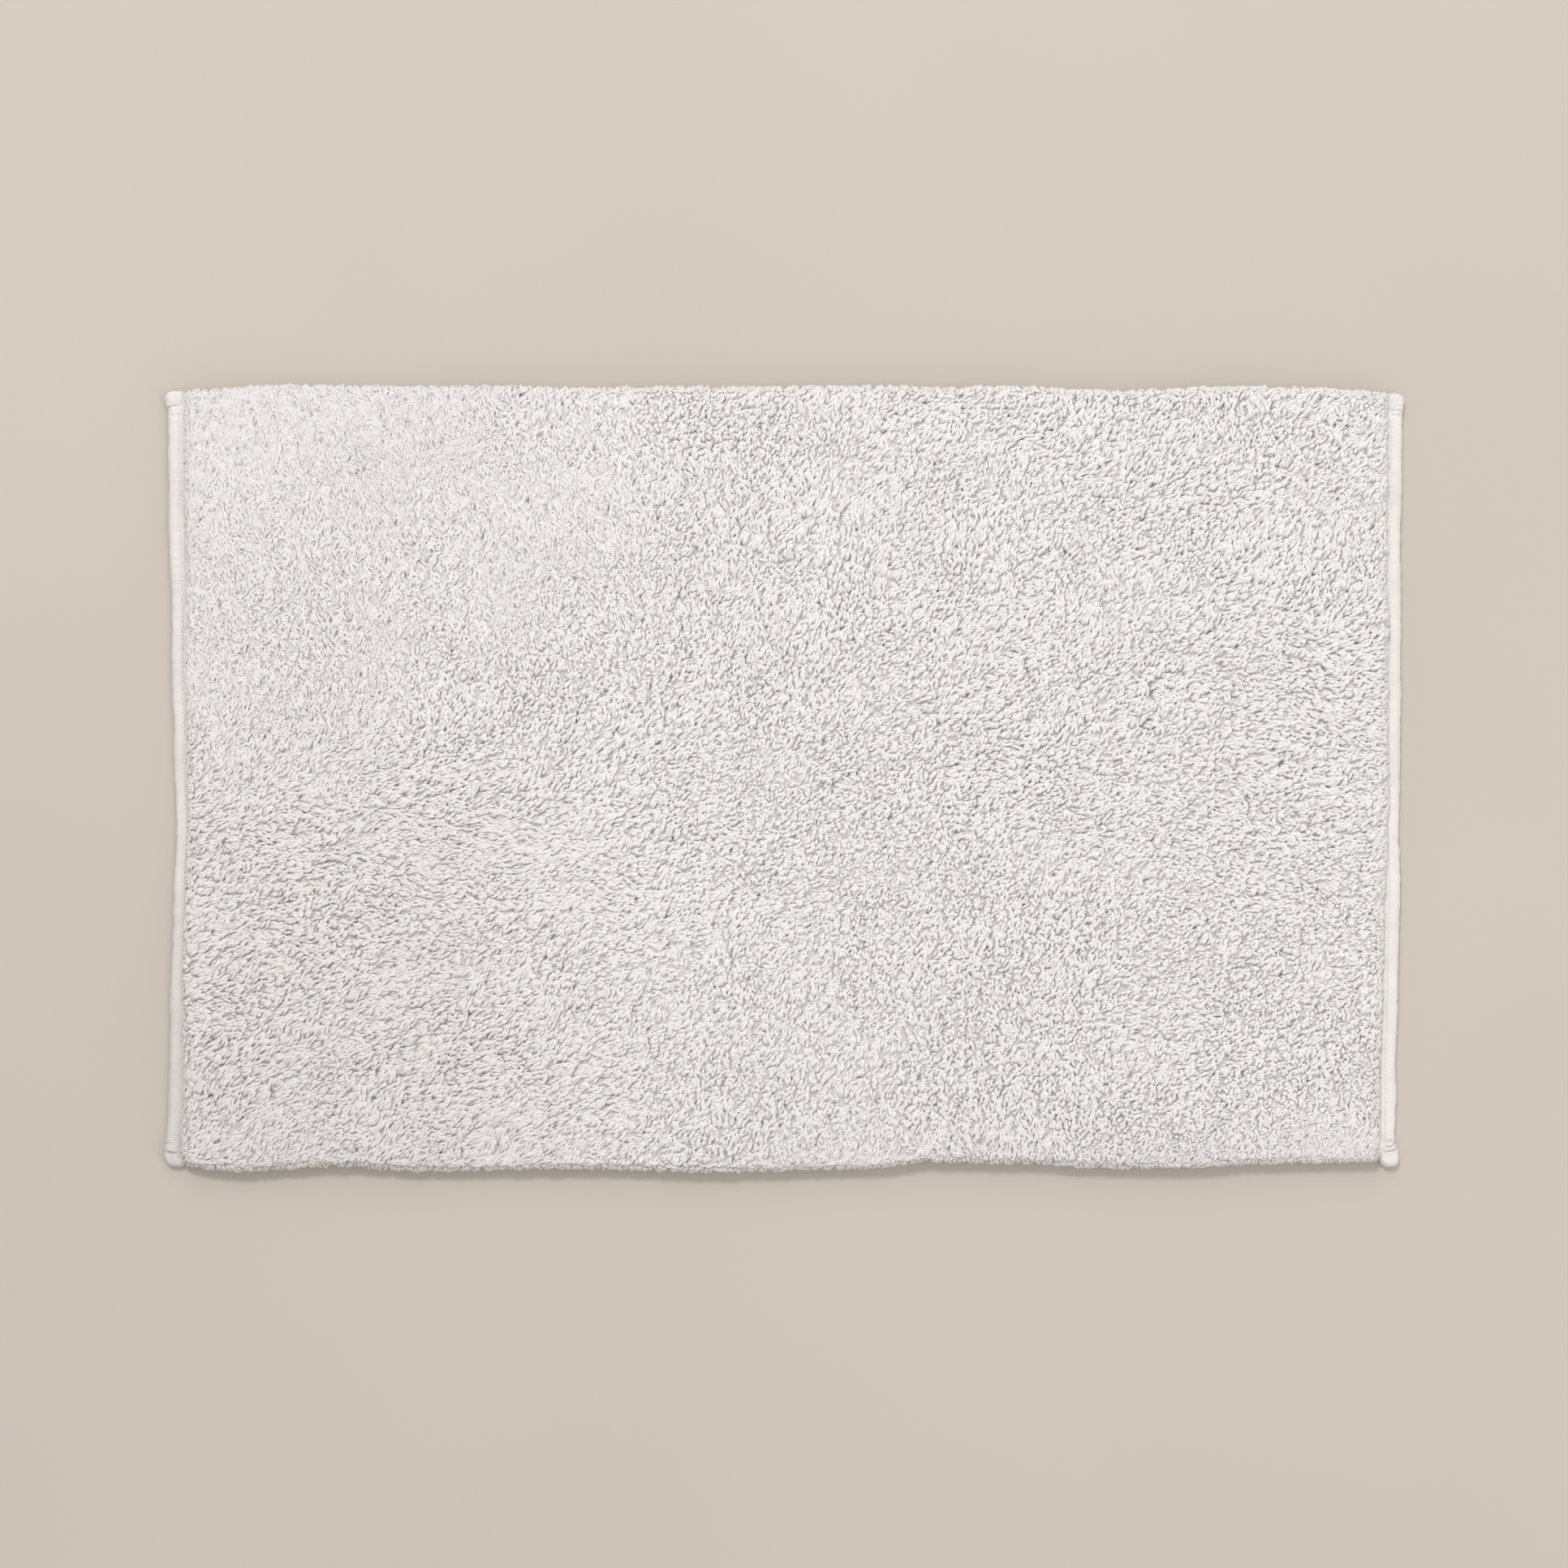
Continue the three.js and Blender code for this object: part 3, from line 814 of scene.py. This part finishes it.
def ground_cloth(material):
    """The woven cloth that the tufts are stitched through."""
    x, y = grid_over(CLOTH_LOW, CLOTH_HIGH, 5 * MM)
    points, faces = slab(x, y, np.full_like(x, CLOTH_HIGH.z), np.full_like(x, CLOTH_LOW.z))
    nodes, cloth = ["ground_cloth"], [("cloth", points)]
    piece = mesh_object("ground_cloth_sheet", points, faces, material, nodes, cloth)


def latex_backing():
    """The coat is a little lumpy underneath, and leaves a pocket for the label."""
    x, y = grid_over(LATEX_LOW, LATEX_HIGH, 3.2 * MM)
    bumps = patches(x, y, 6 * MM, seed=21) + 0.6 * patches(x, y, 3.2 * MM, seed=22)
    under = 0.18 * MM * (1 + np.clip(bumps, -1, 1))
    room = 1.2 * MM
    over_x = (x > LABEL_LOW.x - room) & (x < LABEL_HIGH.x + room)
    over_y = (y > LABEL_LOW.y - room) & (y < LABEL_HIGH.y + room)
    under[over_x & over_y] = LABEL_HIGH.z + 0.2 * MM
    points, faces = slab(x, y, np.full_like(under, LATEX_HIGH.z), under)
    piece = mesh_object("latex_coat", points, faces, latex_material(), ["latex_backing"])


def care_label():
    """A blank satin label, a little wavy."""
    x, y = grid_over(LABEL_LOW, LABEL_HIGH, 1 * MM)
    under = 0.12 * MM * (1 + patches(x, y, 9 * MM, seed=23))
    points, faces = slab(x, y, under + 0.3 * MM, under)
    material = satin_material()
    piece = mesh_object("blank_care_label", points, faces, material, ["care_label"])


# Tape, stitches and corners ---


def straight(inward, height):
    """A straight part of the tape's section, all at one height."""
    return np.stack([inward, np.full_like(inward, height)], axis=-1)


def tape_section():
    """The folded tape in section, as (distance in from the edge, height), going round its outside and back."""
    half = FOLD_TOP / 2
    slot = half - TAPE
    bend = np.linspace(math.pi / 2, -math.pi / 2, 9)
    outer_bend = np.stack([half - half * np.cos(bend), half + half * np.sin(bend)], axis=-1)
    inner_bend = np.stack([half - slot * np.cos(bend[::-2]), half + slot * np.sin(bend[::-2])], axis=-1)
    lower = np.linspace(LEG, half, 6)[:-1]
    upper = np.linspace(LEG + UPPER_LEG, half, 8)[:-1]
    return np.concatenate([
        straight(upper, FOLD_TOP), outer_bend, straight(lower[::-1], 0),
        straight(lower[::2], TAPE), inner_bend, straight(upper[::-2], FOLD_TOP - TAPE),
    ])


def plumpness(inward):
    """How plump the tape is at a distance in from the edge, from 0 to 1."""
    return np.clip(1 - ((inward - PLUMP_MIDDLE) / PLUMP_REACH) ** 2, 0, 1)


def placed(inward, height, along, edge):
    """Points on one edge of the flat mat, from their distance in from it, height and place along it."""
    kind, side = edge
    if kind == "end":
        return np.stack([side * (HALF_LENGTH - inward), along, height], axis=-1)
    return np.stack([along, side * (HALF_WIDTH - inward), height], axis=-1)


def tape(name, edge, half_run, material, seed):
    """One folded tape: plump over its fold, puckered along its seam and a little uneven all along."""
    section = tape_section()
    along = steps(-half_run, half_run, 1 * MM)
    run, inward = np.meshgrid(along, section[:, 0], indexing="ij")
    height = np.repeat(section[None, :, 1], len(along), axis=0)
    top = np.clip(height / FOLD_TOP, 0, 1)
    by_seam = np.exp(-(((inward - SEAM_INSET) / SEAM_PINCH) ** 2))
    pucker = 0.5 + 0.5 * np.cos(2 * math.pi * run / STITCH)
    uneven = patches(run, inward * 0, 19 * MM, seed) + 0.5 * patches(run, inward, 6 * MM, seed + 1)
    uneven += 0.45 * patches(run, inward / 3, 2.6 * MM, seed + 2)
    uneven *= 1 - by_seam
    plump = TAPE_PLUMP * plumpness(inward) * (1 + 0.3 * uneven)
    height = height + top**2 * (plump - by_seam * (SEAM_DEPTH + PUCKER_DEPTH * pucker))
    bend = np.clip(1 - inward / (3 * MM), 0, 1)
    inward = inward - bend * 0.45 * MM * uneven + 0.2 * MM * top * patches(run, inward, 4 * MM, seed + 2)
    points, faces = loft(placed(inward, height, run, edge))
    lengths = np.linalg.norm(np.diff(section, axis=0, prepend=section[:1]), axis=1)
    around = np.repeat(np.cumsum(lengths)[None], len(along), axis=0)
    cloth = np.stack([run, around, 0 * run], axis=-1).reshape(-1, 3)
    nodes = [f"{name}_binding"]
    return mesh_object(f"{name}_tape", points, faces, material, nodes, [("cloth", cloth)])


def fold_outline(fold, angle):
    """How far a fold's outline is from its centre in each direction, in mm."""
    half_x, half_y = fold.half_size
    power = fold.squareness
    reach = (np.abs(np.cos(angle) / half_x) ** power + np.abs(np.sin(angle) / half_y) ** power) ** (-1 / power)
    for direction, amount, width in fold.bulges:
        away = (np.degrees(angle) - direction + 180) % 360 - 180
        reach = reach + amount * np.exp(-((away / width) ** 2))
    return reach


def fold_top(fold, u, v, dome, seed):
    """The height of a fold's upper face, in mm: a lumpy dome with its creases."""
    lumps = 0.5 * patches(u, v, 3.0, seed) + 0.25 * patches(u, v, 1.3, seed + 1)
    level = FOLD_RIM + (fold.height - FOLD_RIM) * dome * (1 + 0.2 * lumps)
    for place, bow, depth, width in fold.creases:
        line = place + bow * (u / fold.half_size[0]) ** 2 + 0.8 * patches(u, u * 0, 2.4, seed + 2)
        level = level - depth * np.exp(-(((v - line) / width) ** 2)) * (dome > 0)
    return np.maximum(level, FOLD_RIM)


def corner_fold(name, node, fold, material, seed):
    """The end of a side tape, folded over the corner: a plump cap of cloth, made as rings from the middle of
    its top out to its rim and back in underneath."""
    angle = np.arange(FOLD_AROUND) * 2 * math.pi / FOLD_AROUND
    reach = fold_outline(fold, angle)
    share = np.linspace(0, 1, FOLD_RINGS)[1:]
    share = np.concatenate([share**0.7, share[-2::-1] ** 0.7 * 0.97])
    u = share[:, None] * reach * np.cos(angle)
    v = share[:, None] * reach * np.sin(angle)
    dome = np.clip(1 - share**5, 0, 1)[:, None] ** 0.5
    upper = np.arange(len(share)) < FOLD_RINGS - 1
    z = np.where(upper[:, None], fold_top(fold, u, v, dome, seed), 2.0 - 1.8 * dome)
    centre_x, centre_y = fold.centre
    cosine, sine = math.cos(math.radians(fold.turn)), math.sin(math.radians(fold.turn))
    x, y = centre_x + u * cosine - v * sine, centre_y + u * sine + v * cosine
    points, cloth = (np.stack(axes, axis=-1).reshape(-1, 3) * MM for axes in ((x, y, z), (u, v, z)))
    quads = ring_quads(len(share), FOLD_AROUND)[:, [0, 3, 2, 1]]
    first, last = np.arange(FOLD_AROUND), (len(share) - 1) * FOLD_AROUND + np.arange(FOLD_AROUND)
    faces = [quads, np.stack([first, last[::-1]])]
    return mesh_object(name, points, faces, material, [node], [("cloth", cloth)])


def thread_piece(name, node, lines, radii, material):
    """Stitches along many lines, as one piece of two-ply thread."""
    across = np.repeat(np.array([[0.0, 0.0, 1.0]]), len(lines), axis=0)
    points, faces, yarn = tubes(lines, radii, across, THREAD_SIDES, THREAD_TURNS, lobe=THREAD_LOBE)
    return mesh_object(name, points, faces, material, [node], [("yarn", yarn)])


def corner_tack(name, material, seed):
    """A short bar tack: a few close stitches across the joint, pulled down into the cloth."""
    random = np.random.default_rng(seed)
    low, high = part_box(name)
    share = np.linspace(-0.5, 0.5, 5)
    along = TACK_LENGTH * np.linspace(-0.5, 0.5, TACK_STITCHES)[:, None]
    along = along + random.normal(0, 0.15 * MM, (TACK_STITCHES, 1)) + 0.3 * MM * share
    across = TACK_WIDTH * share + 0 * along
    height = FOLD_TOP + TAPE_PLUMP + 0.1 * MM - TACK_DIP * (2 * share) ** 2 + 0 * along
    lines = np.stack([(low.x + high.x) / 2 + along, (low.y + high.y) / 2 + across, height], axis=-1)
    radii = np.full(lines.shape[:2], THREAD_RADIUS * 1.2)
    return thread_piece(f"{name}_stitches", name, lines, radii, material)


def stitches(name, edge, half_run, under, material, seed):
    """A row of lockstitches: short arches of thread that dip into the tape at both ends."""
    random = np.random.default_rng(seed)
    along = np.arange(-half_run, half_run - STITCH, STITCH)
    share = np.linspace(0, 1, 7)
    run = along[:, None] + STITCH * (0.5 + (share[None] - 0.5) * 1.06)
    arch = np.sin(math.pi * share)[None] ** 0.6 + 0 * run
    if under:
        height = THREAD_RADIUS + BOBBIN_ARCH * (1 - arch)
    else:
        height = FOLD_TOP + TAPE_PLUMP * plumpness(SEAM_INSET) - NEEDLE_SUNK + NEEDLE_ARCH * arch
    slant = random.normal(0, 0.08 * MM, (len(along), 1)) + 0.22 * MM * (share[None] - 0.5)
    lines = placed(SEAM_INSET + slant, height, run, edge)
    radii = THREAD_RADIUS * np.array([0.6, 0.95, 1, 1, 1, 0.95, 0.6])[None] * np.ones((len(along), 1))
    thread = "bobbin" if under else "needle"
    return thread_piece(f"{name}_{thread}_stitches", f"{name}_{thread}_thread", lines, radii, material)


def bindings():
    """The four tapes with their seams, and the folded and tacked ends of the side tapes."""
    tape_cloth = woven_material("binding_tape", (0.83, 0.805, 0.78), (0.76, 0.735, 0.71), 0.55 * MM, 0.35)
    thread = thread_material()
    end_run = HALF_WIDTH - WRAP + 5 * MM
    side_run = HALF_LENGTH - 6 * MM
    edges = [("left_end", ("end", -1), end_run), ("right_end", ("end", 1), end_run),
             ("front_side", ("side", -1), side_run), ("back_side", ("side", 1), side_run)]
    sewn_on = {name: [] for name, _, _ in edges}
    for number, (name, fold) in enumerate(CORNERS.items()):
        side = name.split("_")[0] + "_side"
        folded_end = corner_fold(f"{name}_fold", f"{side}_binding", fold, tape_cloth, seed=60 + 3 * number)
        tack = corner_tack(f"{name}_corner_tack", thread, seed=80 + number)
        sewn_on[side] += [folded_end, tack]
    for number, (name, edge, run) in enumerate(edges):
        piece = tape(name, edge, run, tape_cloth, seed=30 + 3 * number)
        for under in (False, True):
            seed = 50 + 2 * number + under
            sewn_on[name].append(stitches(name, edge, run - 2 * SEAM_END, under, thread, seed))


# Stage ---


def stage():
    """A floor just under the mat, far wider than the view."""
    half, height = 20.0, -0.1 * MM
    corners = [(half * x, half * y, height) for x, y in ((-1, -1), (1, -1), (1, 1), (-1, 1))]
    mesh = bpy.data.meshes.new("floor")
    mesh.from_pydata(corners, [], [(0, 1, 2, 3)])
    mesh.materials.append(floor_material())
    floor = new_object("floor", mesh)


def area_light(name, place, size, power, colour):
    """A round lamp that shines at the middle of the mat."""
    light = bpy.data.lights.new(name, "AREA")
    light.shape = "DISK"
    light.size = size
    light.energy = power
    light.color = colour
    lamp = new_object(name, light)
    lamp.location = place
    bpy.context.view_layer.update()
    lamp.rotation_mode = "QUATERNION"
    lamp.rotation_quaternion = lamp.location.to_track_quat("Z", "Y")


def lights():
    """A soft main light from the back left, three weaker lights, and an even glow from all round."""
    area_light("softbox", place=(-1.0, 2.9, 5.0), size=1.1, power=128, colour=(1.0, 0.985, 0.965))
    area_light("fill", place=(3.2, -0.5, 5.0), size=4.0, power=48, colour=(1.0, 0.985, 0.97))
    area_light("window", place=(0.0, 2.2, 1.8), size=1.5, power=12, colour=(1.0, 0.985, 0.97))
    area_light("bounce", place=(1.5, -1.3, 1.1), size=1.2, power=4, colour=(1.0, 0.98, 0.96))
    world = bpy.data.worlds.new("studio")
    world.use_nodes = True
    background = world.node_tree.nodes["Background"]
    background.inputs["Color"].default_value = (1.0, 0.985, 0.97, 1)
    background.inputs["Strength"].default_value = 0.60
    bpy.context.scene.world = world


def camera():
    """Straight above, with a long lens. The view is 1.033 m across, and the mat sits 4 mm above its middle."""
    view_width, distance, drop = 1.033, 2.6, 4 * MM
    data = bpy.data.cameras.new("overhead")
    data.sensor_width = 36
    data.lens = data.sensor_width * distance / view_width
    shot = new_object("overhead", data)
    shot.location = (0, -drop, distance)
    bpy.context.scene.camera = shot
    bpy.context.scene.view_settings.view_transform = "Standard"


camera()
stage()
lights()
pile()
canvas = woven_material("ground_canvas", (0.62, 0.58, 0.52), (0.48, 0.44, 0.39), 1.2 * MM, 0.6)
ground_cloth(canvas)
latex_backing()
care_label()
bindings()
